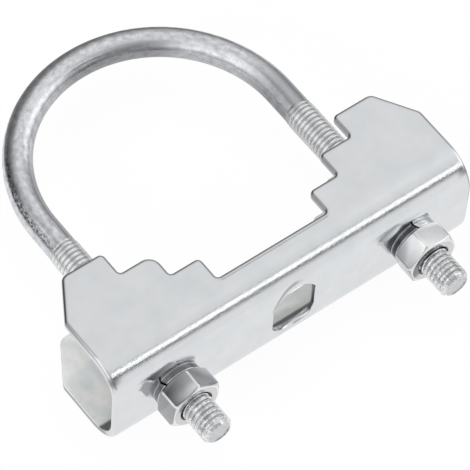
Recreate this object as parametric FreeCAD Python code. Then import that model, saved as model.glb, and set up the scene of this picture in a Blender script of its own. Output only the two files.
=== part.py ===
import FreeCAD, Part
import math
import os

# Antenna mast clamp: a U-bolt of threaded rod draws a folded, stepped saddle against a mast.
# Millimetres. X runs along the saddle, Y from the nuts towards the bend of the U-bolt, Z up along the mast.
# While the pieces are made, Y is counted from the outer face of the saddle's web and Z from its lower flange.

# Driving sizes of the rod
leg_spacing = 69.4          # between the axes of the two legs
thread_d = 7.9              # over the crests of an M8 thread
shank_d = 7.4               # plain rod, as left by thread rolling
stud_out = 16.6             # free end of a leg, in front of the web
thread_reach = 44.6         # end of the thread, behind the web
bend_reach = 52.1           # start of the half-round bend, behind the web
stud_chamfer = 0.8          # on the free ends
thread_runout = 1.2         # cone from thread to shank

# Driving sizes of the saddle
sheet = 2.0
saddle_length = 103.4
saddle_height = 29.0
fold_r = 9.0                # outside of the two folds
base_depth = 10.45          # middle of the jaw, behind the web
riser = 6.95                # rise of every step
step_half = [15.9, 24.2, 33.5]   # half widths of the jaw at its base and at the next two treads
back_half = 44.9            # half length of the rearmost edge
end_depth = 20.5            # where the cut outer corner meets the end of the saddle
notch_r = 0.9               # inside corners of the steps
tooth_r = 1.4               # outside corners of the steps
blunt_r = 3.2               # the one middle tooth that is blunt
cut_r = 2.4                 # both ends of the cut outer corner
edge_break = 0.35           # bevel all round the rim of the sheet
leg_hole_d = 9.0
slot_width = 12.4           # middle hole of the web
slot_height = 17.0

# Driving sizes of the nuts and washers
nut_width = 13.0            # across flats
nut_height = 6.2
nut_face = 0.95             # bearing face as a part of the width across flats
chamfer_deg = 30.0
thread_clear = 0.06         # radial, nut on rod
countersink = 0.35          # radial, at both mouths of a nut
washer_d = 12.7
washer_hole_d = 8.5
washer_height = 1.6
washer_gap = 0.9            # split of the spring washer
split_slant_deg = 22.0
washer_edge = 0.25
turn_deg = {"left": 23.8, "right": 48.7}       # how each nut has come to rest
split_deg = {"left": 134.0, "right": 94.0}     # where each washer is split
touch = 0.001               # arcs nearer than this need no line between them
sharp_deg = 25.0            # faces that turn by more than this meet in a sharp edge

mid_z = saddle_height / 2.0
leg_x = {"left": -leg_spacing / 2.0, "right": leg_spacing / 2.0}
bend_top = bend_reach + leg_spacing / 2.0 + shank_d / 2.0
mid_y = (bend_top - stud_out) / 2.0
across = FreeCAD.Vector(1, 0, 0)
along = FreeCAD.Vector(0, 1, 0)
up = FreeCAD.Vector(0, 0, 1)


def vec(x, y, z):
    return FreeCAD.Vector(x, y, z)


def save(shape, node):
    """Moves a finished piece to the shared origin, under the middle of the whole clamp, and writes it."""
    shape.translate(vec(0, -mid_y, 0))
    shape.exportStep("parts/" + node + ".step")


def turned(profile, x, z):
    """Solid of revolution about a line parallel to Y through x, z; profile lists radius and y."""
    points = [vec(x + r, y, z) for r, y in profile]
    face = Part.Face(Part.makePolygon(points + points[:1]))
    return face.revolve(vec(x, 0, z), along, 360)


def rounded_outline(corners):
    """Closed flat wire through corners (x, y, radius), each rounded by an arc that touches both sides."""
    count = len(corners)
    ends = []
    for i in range(count):
        here = vec(corners[i][0], corners[i][1], 0)
        back = vec(corners[i - 1][0], corners[i - 1][1], 0) - here
        on = vec(corners[(i + 1) % count][0], corners[(i + 1) % count][1], 0) - here
        back.normalize()
        on.normalize()
        half = back.getAngle(on) / 2.0
        radius = corners[i][2]
        reach = radius / math.tan(half)
        middle = back + on
        middle.normalize()
        far = radius / math.sin(half) - radius
        ends.append((here + back * reach, here + middle * far, here + on * reach, radius))
    edges = []
    for i in range(count):
        start, bulge, finish, radius = ends[i]
        if radius > 0:
            edges.append(Part.Arc(start, bulge, finish).toShape())
        if finish.distanceToPoint(ends[(i + 1) % count][0]) > touch:
            edges.append(Part.makeLine(finish, ends[(i + 1) % count][0]))
    return Part.Wire(edges)


def jaw_half(side, middle_r):
    """Corners of half a flange, from its end round the cut corner and down the steps to the jaw's base."""
    depths = [base_depth + riser * k for k in range(len(step_half) + 1)]
    end = saddle_length / 2.0
    outer = [(end, end_depth, cut_r), (back_half, depths[3], cut_r)]
    steps = [
        (step_half[2], depths[3], tooth_r),
        (step_half[2], depths[2], notch_r),
        (step_half[1], depths[2], middle_r),
        (step_half[1], depths[1], notch_r),
        (step_half[0], depths[1], tooth_r),
        (step_half[0], depths[0], notch_r),
    ]
    return [(side * x, y, r) for x, y, r in outer + steps]


def sharp_edges(shape):
    """Edges where two faces meet at a clear angle."""
    found = []
    for edge in shape.Edges:
        faces = shape.ancestorsOfType(edge, Part.Face)
        if len(faces) != 2:
            continue
        point = edge.valueAt((edge.FirstParameter + edge.LastParameter) / 2.0)
        normals = [face.normalAt(*face.Surface.parameter(point)) for face in faces]
        if math.degrees(normals[0].getAngle(normals[1])) > sharp_deg:
            found.append(edge)
    return found


def saddle():
    """Sheet folded twice to a channel; the jaw's steps are cut in both flanges, the holes in the web."""
    depth = base_depth + len(step_half) * riser
    inner_r = fold_r - sheet
    end = saddle_length / 2.0
    # the two sides of the bent strip: outside of the channel, then inside
    outside = [(depth, 0, 0), (0, 0, fold_r), (0, saddle_height, fold_r), (depth, saddle_height, 0)]
    inside = [
        (depth, saddle_height - sheet, 0),
        (sheet, saddle_height - sheet, inner_r),
        (sheet, sheet, inner_r),
        (depth, sheet, 0),
    ]
    section = rounded_outline(outside + inside)
    section.rotate(vec(0, 0, 0), vec(1, 1, 1), 120)
    channel = Part.Face(section).extrude(across * saddle_length)
    channel.translate(across * -end)
    # the punched outline, seen along Z
    front = [(end, -sheet, 0), (-end, -sheet, 0)]
    left = jaw_half(-1, blunt_r)
    right = jaw_half(1, tooth_r)
    outline = rounded_outline(front + left + right[::-1])
    blank = Part.Face(outline).extrude(up * saddle_height)
    shape = channel.common(blank)
    shape = shape.makeChamfer(min(edge_break, sheet / 3.0), sharp_edges(shape))
    # every cutter starts a sheet in front of the web; the slot's one also passes through the folds
    for x in leg_x.values():
        hole = Part.makeCylinder(leg_hole_d / 2.0, 3 * sheet, vec(x, -sheet, mid_z), along)
        shape = shape.cut(hole)
    half = slot_height / 2.0
    wide = slot_width / 2.0
    slot = rounded_outline([
        (wide, half, wide),
        (-wide, half, wide),
        (-wide, -half, wide),
        (wide, -half, wide),
    ])
    slot.rotate(vec(0, 0, 0), across, 90)
    slot.translate(vec(0, -sheet, mid_z))
    shape = shape.cut(Part.Face(slot).extrude(along * (fold_r + sheet)))
    return shape.removeSplitter()


def leg(x):
    """One straight leg: chamfered free end, thread as its crest cylinder, run-out cone, plain shank."""
    crest = thread_d / 2.0
    shank = shank_d / 2.0
    profile = [
        (0, -stud_out),
        (crest - stud_chamfer, -stud_out),
        (crest, -stud_out + stud_chamfer),
        (crest, thread_reach),
        (shank, thread_reach + thread_runout),
        (shank, bend_reach),
        (0, bend_reach),
    ]
    return turned(profile, x, mid_z)


def u_bolt():
    """One rod: two legs joined by the half-round bend."""
    circle = Part.makeCircle(shank_d / 2.0, vec(leg_x["right"], bend_reach, mid_z), along)
    bend = Part.Face(Part.Wire(circle)).revolve(vec(0, bend_reach, mid_z), up, 180)
    shape = bend.fuse([leg(x) for x in leg_x.values()])
    return shape.removeSplitter()


def nut(side):
    """Hexagon nut: prism cut back by a cone at both ends, with a countersunk bore."""
    x = leg_x[side]
    back = -washer_height
    front = back - nut_height
    corner = nut_width / math.sqrt(3.0)
    turns = [math.radians(turn_deg[side] + 60 * k) for k in range(6)]
    hexagon = rounded_outline([(corner * math.cos(a), corner * math.sin(a), 0) for a in turns])
    hexagon.rotate(vec(0, 0, 0), across, 90)
    hexagon.translate(vec(x, front, mid_z))
    prism = Part.Face(hexagon).extrude(along * nut_height)
    face = nut_face * nut_width / 2.0
    slope = math.tan(math.radians(chamfer_deg))
    wide = face + nut_height / 2.0 / slope
    cones = turned([
        (0, back),
        (face, back),
        (wide, (back + front) / 2.0),
        (face, front),
        (0, front),
    ], x, mid_z)
    bore = thread_d / 2.0 + thread_clear
    mouth = bore + countersink
    hole = turned([
        (0, back),
        (mouth, back),
        (bore, back - countersink),
        (bore, front + countersink),
        (mouth, front),
        (0, front),
    ], x, mid_z)
    return prism.common(cones).cut(hole)


def spring_washer(side):
    """Split ring, pressed flat, with its slanted gap."""
    x = leg_x[side]
    inner = washer_hole_d / 2.0
    outer = washer_d / 2.0
    low = -washer_height
    ring = turned([
        (inner, low),
        (outer - washer_edge, low),
        (outer, low + washer_edge),
        (outer, -washer_edge),
        (outer - washer_edge, 0),
        (inner, 0),
    ], x, mid_z)
    # the slit's cutter reaches from the middle out past the rim, and well past both faces
    slit = Part.makeBox(washer_d, 2 * washer_d, washer_gap, vec(0, -washer_d, -washer_gap / 2.0))
    slit.rotate(vec(0, 0, 0), across, split_slant_deg)
    slit.rotate(vec(0, 0, 0), along, -split_deg[side])
    slit.translate(vec(x, -washer_height / 2.0, mid_z))
    return ring.cut(slit)


os.makedirs("parts", exist_ok=True)
save(saddle(), "saddle")
save(u_bolt(), "u_bolt")
for name in ("left", "right"):
    save(nut(name), "nut_" + name)
    save(spring_washer(name), "spring_washer_" + name)
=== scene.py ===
# %% [markdown]
# # A mast clamp in bright zinc
# The clamp has four kinds of pieces: a rod bent to a U, a sheet folded to a channel with stepped jaws, two
# hexagon nuts and two split spring washers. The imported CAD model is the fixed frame. It says where every
# piece is and how big it is, and this script dresses it: real threads, rolled rims, soft edges and zinc.

# %% Load the frame
import math

import bmesh
import bpy
import numpy as np
from mathutils import Matrix, Vector


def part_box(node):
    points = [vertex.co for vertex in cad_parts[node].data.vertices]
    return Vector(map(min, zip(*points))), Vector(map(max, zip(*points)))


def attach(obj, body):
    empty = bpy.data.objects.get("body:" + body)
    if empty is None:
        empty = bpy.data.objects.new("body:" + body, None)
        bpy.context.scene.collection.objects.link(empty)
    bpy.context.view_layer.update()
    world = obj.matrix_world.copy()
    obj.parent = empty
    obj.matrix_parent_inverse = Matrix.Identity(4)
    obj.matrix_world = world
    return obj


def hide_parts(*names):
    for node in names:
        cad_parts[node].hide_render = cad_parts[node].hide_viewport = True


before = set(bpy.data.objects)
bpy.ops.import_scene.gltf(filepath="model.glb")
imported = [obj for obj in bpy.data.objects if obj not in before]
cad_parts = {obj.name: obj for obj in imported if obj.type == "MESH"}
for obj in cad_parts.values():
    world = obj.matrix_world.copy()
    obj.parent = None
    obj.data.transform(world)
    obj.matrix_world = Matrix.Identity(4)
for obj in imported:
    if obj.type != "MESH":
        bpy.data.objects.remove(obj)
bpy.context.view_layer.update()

mm = 0.001

# %% [markdown]
# ## Sizes from the frame
# A piece that stands for a CAD node has to lie where the node lies. So the places are read from the boxes
# of the nodes, and only what a box can't tell, such as a radius inside the outline, is written in
# millimetres.


# %% Read places from the nodes
def corners_of(node):
    """Lowest and highest corner of a CAD node, in millimetres."""
    return [np.array(corner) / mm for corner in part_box(node)]


rod_low, rod_high = corners_of("u_bolt")
saddle_low, saddle_high = corners_of("saddle")
nut_low, nut_high = corners_of("nut_left")
nut_right_low, nut_right_high = corners_of("nut_right")
washer_low, washer_high = corners_of("spring_washer_left")

thread_r = (rod_high[2] - rod_low[2]) / 2
shank_r = 3.7
leg_x = (nut_right_low[0] + nut_right_high[0]) / 2
leg_place = {"left": -leg_x, "right": leg_x}
mid_z = (rod_low[2] + rod_high[2]) / 2
stud_y = rod_low[1]
bend_y = rod_high[1] - shank_r - leg_x
web_y = saddle_low[1]
print("leg at x", round(leg_x, 2), "mid z", round(mid_z, 2), "stud end y", round(stud_y, 2))
print("bend starts at y", round(bend_y, 2), "web at y", round(web_y, 2))

# %% [markdown]
# ## From points to a mesh
# Every new piece is a surface: a point for each pair of two parameters, worked out by numpy as one array. A
# mesh also needs faces. In a grid they are quads between neighbours, and where the surface runs round on
# itself, the last line of points is joined to the first.


# %% Points and quads
def put_mesh(name, points, loops, counts):
    """Mesh from points in millimetres, the corner list of all faces, and each face's number of corners."""
    mesh = bpy.data.meshes.new(name)
    mesh.vertices.add(len(points))
    mesh.vertices.foreach_set("co", (np.asarray(points) * mm).astype(np.float32).ravel())
    mesh.loops.add(len(loops))
    mesh.loops.foreach_set("vertex_index", np.asarray(loops, np.int32))
    mesh.polygons.add(len(counts))
    starts = np.concatenate([[0], np.cumsum(counts)[:-1]])
    mesh.polygons.foreach_set("loop_start", starts.astype(np.int32))
    mesh.update(calc_edges=True)
    mesh.shade_smooth()
    piece = bpy.data.objects.new(name, mesh)
    bpy.context.scene.collection.objects.link(piece)
    return piece


def grid_quads(rows, columns, round_rows=False, round_columns=True):
    """Corner numbers of the quads of a grid; a round direction joins its last line to its first."""
    number = np.arange(rows * columns).reshape(rows, columns)
    if round_rows:
        number = np.vstack([number, number[:1]])
    if round_columns:
        number = np.hstack([number, number[:, :1]])
    return np.stack([number[:-1, :-1], number[:-1, 1:], number[1:, 1:], number[1:, :-1]], -1).reshape(-1, 4)


print("a tube of 2 rows and 6 columns has", len(grid_quads(2, 6)), "quads")

# %% [markdown]
# A closed surface has no open end and no face that looks inwards. An open end gets a pole: one point in its
# middle and a fan of triangles. The signed volume of the quads is negative where they look inwards, and
# then all of them are turned. That is surer than choosing the order of the points by hand.


# %% Closed surfaces
def surface(name, points, round_rows=False):
    """Closed surface from a grid of points whose columns run round; rows run round too, or end in poles."""
    rows, columns = points.shape[:2]
    flat = points.reshape(-1, 3)
    quads = grid_quads(rows, columns, round_rows)
    fans = np.zeros((0, 3), int)
    if not round_rows:
        around = np.arange(columns)
        after = np.roll(around, -1)
        last = (rows - 1) * columns
        first_pole = np.full(columns, len(flat))
        fans = np.vstack([
            np.stack([first_pole, after, around], -1),
            np.stack([first_pole + 1, last + around, last + after], -1),
        ])
        flat = np.vstack([flat, points[0].mean(0), points[-1].mean(0)])
    corners = [flat[quads[:, k]] for k in range(4)]
    volume = np.einsum("ij,ij->", corners[0], np.cross(corners[1], corners[2]))
    volume += np.einsum("ij,ij->", corners[0], np.cross(corners[2], corners[3]))
    if volume < 0:
        quads = quads[:, ::-1]
        fans = fans[:, ::-1]
    loops = np.concatenate([quads.ravel(), fans.ravel()])
    counts = np.concatenate([np.full(len(quads), 4), np.full(len(fans), 3)])
    return put_mesh(name, flat, loops, counts)


# %% [markdown]
# A finish often changes over a piece, and so does painted shade: a thread gets a bright look on its crests
# and painted shade between them. An image could hold that, but a number stored at every point needs no image
# and moves with the piece. Smooth steps lead from one tone to the next, and two of them make a band.


# %% Numbers on points
def keep(piece, name, values):
    """Stores one number, or one vector, for every point of a piece, for its material to read."""
    values = np.asarray(values, np.float32)
    kind = "FLOAT_VECTOR" if values.ndim == 2 else "FLOAT"
    layer = piece.data.attributes.new(name, kind, "POINT")
    layer.data.foreach_set("vector" if values.ndim == 2 else "value", values.ravel())


def ease(low, high, value):
    """Smooth step from 0 at low to 1 at high: 3 t squared less 2 t cubed."""
    t = np.clip((value - low) / (high - low), 0, 1)
    return t * t * (3 - 2 * t)


def band(start, full, fall, end, value):
    """Rises smoothly from start to full and falls again from fall to end."""
    return ease(start, full, value) * (1 - ease(fall, end, value))


print("half way up a smooth step:", ease(0, 1, 0.5))

# %% [markdown]
# ## The U-bolt
# The real one is a drawn rod with threads rolled on both ends, then bent. A curve with a bevel could make
# the rod, but not its thread. So the rod is a circle carried along a path: the length s runs up the left
# leg, round the half circle and down the right leg.

# %% Rod path
leg_run = bend_y - stud_y
bend_run = math.pi * leg_x
rod_run = 2 * leg_run + bend_run


def rod_path(s):
    """Middle line and direction at length s: straight, then a half circle by cos and sin, then straight."""
    turn = np.clip((s - leg_run) / leg_x, 0, math.pi)
    before = np.minimum(s, leg_run)
    beyond = np.maximum(s - leg_run - bend_run, 0)
    x = -leg_x * np.cos(turn)
    y = stud_y + before + leg_x * np.sin(turn) - beyond
    middle = np.stack([x, y, np.full_like(x, mid_z)], -1)
    direction = np.stack([np.sin(turn), np.cos(turn), np.zeros_like(turn)], -1)
    return middle, direction


print("rod length:", round(rod_run, 1), "mm")

# %% [markdown]
# A thread could be a bump map, but its outline shows against the white ground, so it is real: the radius is
# a function of the length and of the angle round the rod. A right-hand thread climbs one pitch per turn, so
# its phase is s / pitch less the share of a turn. Its crests are flat and its roots rounded, as rolling
# leaves them.

# %% Rod radius
pitch = 1.25
thread_depth = 0.5
thread_back = 44.6
thread_end = thread_back + web_y - stud_y
runout = 2.2
stud_chamfer = 0.85
chamfer_slope = 0.9
start_phase = {"left": 0.15, "right": 0.4}


def rod_radius(s, angle):
    """Radius at length s and an angle, with the share of thread and its wave, 0 in roots and 1 on crests.

    The wave is a triangle of the phase, cut flat on top by a smooth step. The thread fades into the shank,
    and a cone cuts each free end."""
    from_end = np.minimum(s, rod_run - s)
    on_left = s < rod_run / 2
    phase = s / pitch - angle / (2 * math.pi) + np.where(on_left, start_phase["left"], start_phase["right"])
    wave = ease(-0.9, 0.1, 1 - 4 * np.abs(phase % 1 - 0.5))
    thread = thread_r - thread_depth * (1 - wave) * ease(0.2, 1.5, from_end)
    threaded = 1 - ease(thread_end - runout, thread_end + runout / 2, from_end)
    radius = shank_r + (thread - shank_r) * threaded
    return np.minimum(radius, thread_r - stud_chamfer + from_end * chamfer_slope), threaded, wave


print("thread:", round(thread_end / pitch, 1), "turns on each leg")

# %% [markdown]
# The grid needs many rows where the thread is, to show its crests, and few where the rod is plain. The flat
# ends are three more rings on each side, and a pole closes each end.

# %% Rod surface
rows_per_pitch = 13
rod_columns = 52
plain_rows = 96
plain_gap = 0.4
upright = np.array([0, 0, 1.0])

fine = np.arange(0, thread_end + runout, pitch / rows_per_pitch)
plain = np.linspace(fine[-1] + plain_gap, rod_run - fine[-1] - plain_gap, plain_rows)
lengths = np.concatenate([fine, plain, rod_run - fine[::-1]])
angles = np.linspace(0, 2 * math.pi, rod_columns, endpoint=False)
s_grid, angle_grid = np.meshgrid(lengths, angles, indexing="ij")
middle, direction = rod_path(s_grid)
outwards = np.cos(angle_grid)[..., None] * upright
outwards = outwards + np.sin(angle_grid)[..., None] * np.cross(direction, upright)
radius, threaded, wave = rod_radius(s_grid, angle_grid)

end_rings = np.array([0.55, 0.8, 0.95])
ring = end_rings[:, None, None]
first_end = middle[0] + ring * radius[0][:, None] * outwards[0]
last_end = middle[-1] + ring[::-1] * radius[-1][:, None] * outwards[-1]
rod = surface("rod", np.concatenate([first_end, middle + radius[..., None] * outwards, last_end]))
print("rod:", len(rod.data.polygons), "faces")

# %% [markdown]
# Zinc on a drawn rod is streaky: its clouds are longer than wide and follow the bend. A pattern on plain
# coordinates would run straight through it. So every point keeps a place on the rod as if it were unbent,
# with the length shortened, which stretches the pattern along it.

# %% Place along the rod
streak = 0.65
pad = ((len(end_rings), len(end_rings)), (0, 0))


def with_ends(values):
    """Values of the rod's grid, carried on over the rings and the poles of its two end faces."""
    padded = np.pad(values, pad, "edge")
    return np.concatenate([padded.ravel(), [padded[0].mean(), padded[-1].mean()]])


around = with_ends(angle_grid)
ring_share = np.concatenate([end_rings, np.ones(len(s_grid)), end_rings[::-1]])
from_middle = shank_r * np.append(np.repeat(ring_share, rod_columns), [0, 0])
unbent = [from_middle * np.cos(around), from_middle * np.sin(around), with_ends(s_grid) * streak]
keep(rod, "along_rod", np.stack(unbent, -1) * mm)
print("unbent rod keeps", round(rod_run * streak, 1), "mm of its length")

# %% [markdown]
# The thread gets a bright look on its crests and painted shade in its valleys, least on the side that faces
# the light. The free ends in front of the nuts are rougher and finely speckled, and the sawn end faces are
# greyer than the chamfer round them. These tones could be painted in an image, but the thread's own wave
# already says where a crest is.

# %% Thread tones
valley_shaded_share = 0.35
end_face_tone = 0.0
most_speck = 0.3
valley_shade, less_facing_light, free_less = 0.8, 0.3, 0.2
light_side = np.array([-0.7, 0.0, 0.7])

end_run = np.minimum(s_grid, rod_run - s_grid)
in_thread = ease(0.9, 1.9, end_run)
# the crests take the bright thread look, the valleys painted shade
crest_and_valley_shade = threaded * (valley_shaded_share + (1 - valley_shaded_share) * ease(0.05, 0.6, wave))
end_crest = np.pad(np.maximum(crest_and_valley_shade, 1 - in_thread), pad, constant_values=end_face_tone)
keep(rod, "crest_and_valley_shade", np.append(end_crest, [end_face_tone, end_face_tone]))

glint = 1 - ease(15, 20, end_run)
keep(rod, "glint", with_ends(glint))
keep(rod, "speck", np.append(np.pad(most_speck * glint * threaded, pad), [0, 0]))

# painted shade in the valleys is least on the side that faces the light, and on the free ends
facing_light = ease(0.75, 0.97, outwards @ light_side)
valley = 1 - ease(0.0, 0.5, wave)
thread_valley_shade = threaded * valley * (valley_shade - less_facing_light * facing_light) * (1 - free_less * glint) * in_thread
print("mean crest", round(float(crest_and_valley_shade.mean()), 2), "mean painted_valley_shade", round(float(thread_valley_shade.mean()), 2))

# %% [markdown]
# The plain part of the rod is darker in places: next to the right thread, inside the bend and inside the left
# leg. Up the outside of the left leg runs a painted dark reflection, a band broken by grain where the rod
# mirrors dark surroundings. Each place is a band of degrees along the bend times a band of degrees round the
# rod, where 0 is the top and 90 the inside.

# %% Shank tones
thread_dull, bend_dull, leg_dull = 0.65, 0.6, 0.5
dark_reflection_at = -47

bend_deg = np.degrees((s_grid - leg_run) / leg_x)
round_deg = (np.degrees(angle_grid) + 180) % 360 - 180
plain_share = 1 - threaded

near_thread = ease(160, 182, bend_deg) * (0.7 + 0.3 * ease(0, 60, round_deg))
inside_bend = band(68, 88, 120, 136, bend_deg) * ease(15, 45, round_deg)
inside_leg = (1 - ease(20, 35, bend_deg)) * ease(15, 50, round_deg)
dull_shank = np.max([thread_dull * near_thread, bend_dull * inside_bend, leg_dull * inside_leg], 0)
dull_shank = dull_shank * plain_share

# painted dark reflection up the outside of the left leg
dark_reflection = (1 - ease(25, 45, bend_deg)) * (1 - ease(9, 17, np.abs(round_deg - dark_reflection_at)))
dark_reflection = dark_reflection * (0.55 + 0.45 * ease(-25, 10, bend_deg))
keep(rod, "dark_reflection", with_ends(dark_reflection * plain_share))
print("painted_dark share of the rod:", round(float((dark_reflection * plain_share > 0.5).mean()), 3))

# %% [markdown]
# Each end face gets a dark line on its lower right, where the rim turns down and away from the light: painted
# shade on the outer rings of the face, too fine for a groove. The rest of the face has an even, light stain.

# %% End face tones
end_stain = 0.2
ring_shade = (0.0, 0.9, 1.0, 1.0)
shaded_rim_side = np.array([0.5, 0.0, -0.87])

# the thread's painted valley shade and the shank's darker places, then painted shade on the end rims
shade_and_stain = np.pad(np.maximum(thread_valley_shade, dull_shank), pad)
end_edge_shade = np.pad(ease(0.3, 0.8, outwards @ shaded_rim_side), pad, "edge")
for inwards, most in enumerate(ring_shade):
    for row in (inwards, -1 - inwards):
        shade_and_stain[row] = np.maximum(end_stain, most * end_edge_shade[row])
keep(rod, "shade_and_stain", np.append(shade_and_stain, [end_stain, end_stain]))
print("rod stains from", round(float(shade_and_stain.min()), 2), "to", round(float(shade_and_stain.max()), 2))

# %% [markdown]
# ## The nuts
# A hexagon nut is a prism cut back by a 30 degree cone at each end. Booleans could cut it, but they leave
# faces of odd sizes and hard edges. Here the hexagon's radius is a formula, a power mean of the distances
# to its six planes, which rounds the corners a little. Each corner of a profile is split, for a soft edge
# that gleams.

# %% Hexagon and soft corners
nut_width = 13.0
corner_power = 55
most_of_side = 0.45


def hexagon_radius(angle, width, turn):
    """Radius of a hexagon with its first corner at turn: a power mean of the distances to its six planes."""
    flats = np.radians(turn + 30 + 60 * np.arange(6))
    reach = np.maximum(np.cos(angle[:, None] - flats), 0) / (width / 2)
    return (reach ** corner_power).sum(1) ** (-1 / corner_power)


def soften(profile, edge):
    """Splits every corner of closed profiles in three: edge before it, a rounded one, and edge after it.

    The rounded one lies half way from the corner to the middle of the other two."""
    before = np.roll(profile, 1, 1) - profile
    after = np.roll(profile, -1, 1) - profile
    long_before = np.linalg.norm(before, axis=-1, keepdims=True)
    long_after = np.linalg.norm(after, axis=-1, keepdims=True)
    one = profile + before / long_before * np.minimum(edge, most_of_side * long_before)
    two = profile + after / long_after * np.minimum(edge, most_of_side * long_after)
    rounded = (one + two) / 4 + profile / 2
    return np.stack([one, rounded, two], 2).reshape(len(profile), -1, 2)


corner_r = hexagon_radius(np.zeros(1), nut_width, 0.0)[0]
print("nut over its corners:", round(2 * corner_r, 2), "mm")

# %% [markdown]
# For every angle round the leg the nut has one closed profile: bore, countersunk mouth, end face, cone,
# flat, and the same back again. Carried once round the leg, it gives the whole nut, with its threaded bore
# as a plain one.

# %% Nut surface
face_share = 0.95
nut_face_r = face_share * nut_width / 2
nut_height = nut_high[1] - nut_low[1]
thread_clear = 0.06
bore_r = thread_r + thread_clear
mouth = 0.4
nut_edge = 0.2
cone_slope = math.tan(math.radians(30))
nut_turn = {"left": 23.8, "right": 48.7}
nut_columns = 240
nut_angle = np.linspace(0, 2 * math.pi, nut_columns, endpoint=False)
forwards = np.array([0, 1.0, 0])


def nut_piece(side):
    """Profile of radius and depth at each angle, from the bore out to the hexagon and back, carried round."""
    hexagon = hexagon_radius(nut_angle, nut_width, nut_turn[side])
    drop = np.maximum(hexagon - nut_face_r, 0) * cone_slope
    front = [(bore_r, mouth), (bore_r + mouth, 0), (nut_face_r, 0), (hexagon, drop)]
    rear = [(radius, nut_height - depth) for radius, depth in front[::-1]]
    corners = [np.broadcast_arrays(*corner, nut_angle)[:2] for corner in front + rear]
    profile = soften(np.stack([np.stack(corner, -1) for corner in corners], 1), nut_edge)
    out = np.stack([np.cos(nut_angle), np.zeros_like(nut_angle), np.sin(nut_angle)], -1)
    start = np.array([leg_place[side], nut_low[1], mid_z])
    points = start + profile[..., :1] * out[:, None] + profile[..., 1:] * forwards
    return surface("hex_nut_" + side, points.transpose(1, 0, 2), round_rows=True)


nuts = {side: nut_piece(side) for side in leg_place}
print("nuts:", [len(nut.data.polygons) for nut in nuts.values()], "faces")

# %% [markdown]
# A bright nut mirrors what is close to it, and each flat shows another tone. The tent that will light the
# clamp is too coarse for that, so the flats hold painted reflections themselves: a number at the first and at
# the last corner of each flat. The rounded edges get a painted highlight, as if they caught a lamp, and the
# mouth of the bore painted shade.

# %% Nut tones
# painted reflections of the six flats, from the one above on the right round to the left
flat_reflection = {
    "left": [(0.72, 0.36), (0.8, 0.1), (0.42, 0.48), (0.5, 0.5), (0.5, 0.5), (0.5, 0.5)],
    "right": [(1.0, 1.0), (0.95, 0.55), (0.5, 0.6), (0.5, 0.5), (0.6, 0.6), (0.6, 0.7)],
}
# painted reflection on the end faces, painted shade in the bore's mouth, painted highlight on the edges
face_reflection = 0.76
mouth_shade = 0.06
edge_highlight = 1.0
edge_share = 0.03
# a painted dark patch on each end face: its middle and half width in degrees, and how dark
face_painted_dark = {"left": (135, 30, 0.1), "right": (150, 60, 0.5)}
patch_soft = 15


def nut_painted_light(side):
    """Painted light at every point of a nut: painted reflections from corner to corner along a flat, even on
    a face but for the dark patch.
    """
    place = (np.degrees(nut_angle) - nut_turn[side]) % 360 / 60
    flat = place.astype(int)
    along = place - flat
    first, last = np.array(flat_reflection[side])[flat].T
    on_flat = first + (last - first) * along
    on_flat = np.where(np.minimum(along, 1 - along) < edge_share, edge_highlight, on_flat)
    patch_at, half, dark = face_painted_dark[side]
    off_patch = np.abs((np.degrees(nut_angle) - patch_at + 180) % 360 - 180)
    on_face = face_reflection - dark * (1 - ease(half - patch_soft, half + patch_soft, off_patch))
    in_mouth = np.full_like(nut_angle, mouth_shade)
    front = [in_mouth, in_mouth, on_face, on_flat]
    painted_light = np.repeat(np.stack(front + front[::-1]), 3, 0)
    # painted light on the front's rounded edges: the face's reflection on the rim of the mouth, then the
    # highlight on the rim of the chamfer
    painted_light[5] = on_face
    painted_light[7] = painted_light[8] = edge_highlight
    return painted_light.ravel()


for side, nut in nuts.items():
    keep(nut, "painted_light", nut_painted_light(side))
    print("nut", side, "mean tone", round(float(nut_painted_light(side).mean()), 2))

# %% [markdown]
# ## The spring washers
# A spring washer is square wire wound to one turn and cut through. Pressed flat under its nut it is a ring
# with a slanted gap. The rounded section of the wire is carried round from one side of the gap to the
# other, and poles close its ends. The slant makes the angle of an end depend on the depth.

# %% Washer surface
washer_r = (washer_high[0] - washer_low[0]) / 2
washer_hole_r = 4.25
washer_height = washer_high[1] - washer_low[1]
split_at = {"left": 134.0, "right": 94.0}
split_gap = 0.55
split_slant = math.tan(math.radians(22))
wire_soft = 0.3
wire_rows = 97

square = [(washer_hole_r, 0), (washer_r, 0), (washer_r, washer_height), (washer_hole_r, washer_height)]
wire = soften(soften(np.array([square]), wire_soft), wire_soft / 4)[0]
wire_r, wire_depth = wire.T
wire_share = np.linspace(0, 1, wire_rows)[:, None]


def washer_piece(side):
    """Wire section of radius and depth, carried round the leg, less half a slanted gap at each end."""
    lean = split_slant * (wire_depth - washer_height / 2) / wire_r
    half_gap = split_gap / 2 / wire_r
    start = math.radians(split_at[side]) + lean + half_gap
    angle = start + wire_share * (2 * math.pi - 2 * half_gap)
    points = np.stack([
        leg_place[side] + wire_r * np.cos(angle),
        np.broadcast_to(washer_low[1] + wire_depth, angle.shape),
        mid_z + wire_r * np.sin(angle),
    ], -1)
    return surface("split_washer_" + side, points)


washers = {side: washer_piece(side) for side in leg_place}
print("washers:", [len(washer.data.polygons) for washer in washers.values()], "faces")

# %% [markdown]
# A washer between a nut and the web mirrors both, and its tone jumps at the split. Mirrors of mirrors take
# many rays and stay noisy, so the wire holds painted reflection and shade as the nuts do: one value for the
# half turn before the split, one for the half turn after it, and a painted highlight on its two outer edges.

# %% Washer tones
# painted reflection and shade of the wire, before and after the split, and a painted highlight on its edges
washer_painted_light = {"left": (0.2, 0.25), "right": (0.75, 0.08)}
wire_edge_highlight = 1.0
edge_in = 0.12
edge_deep = 0.2

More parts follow.
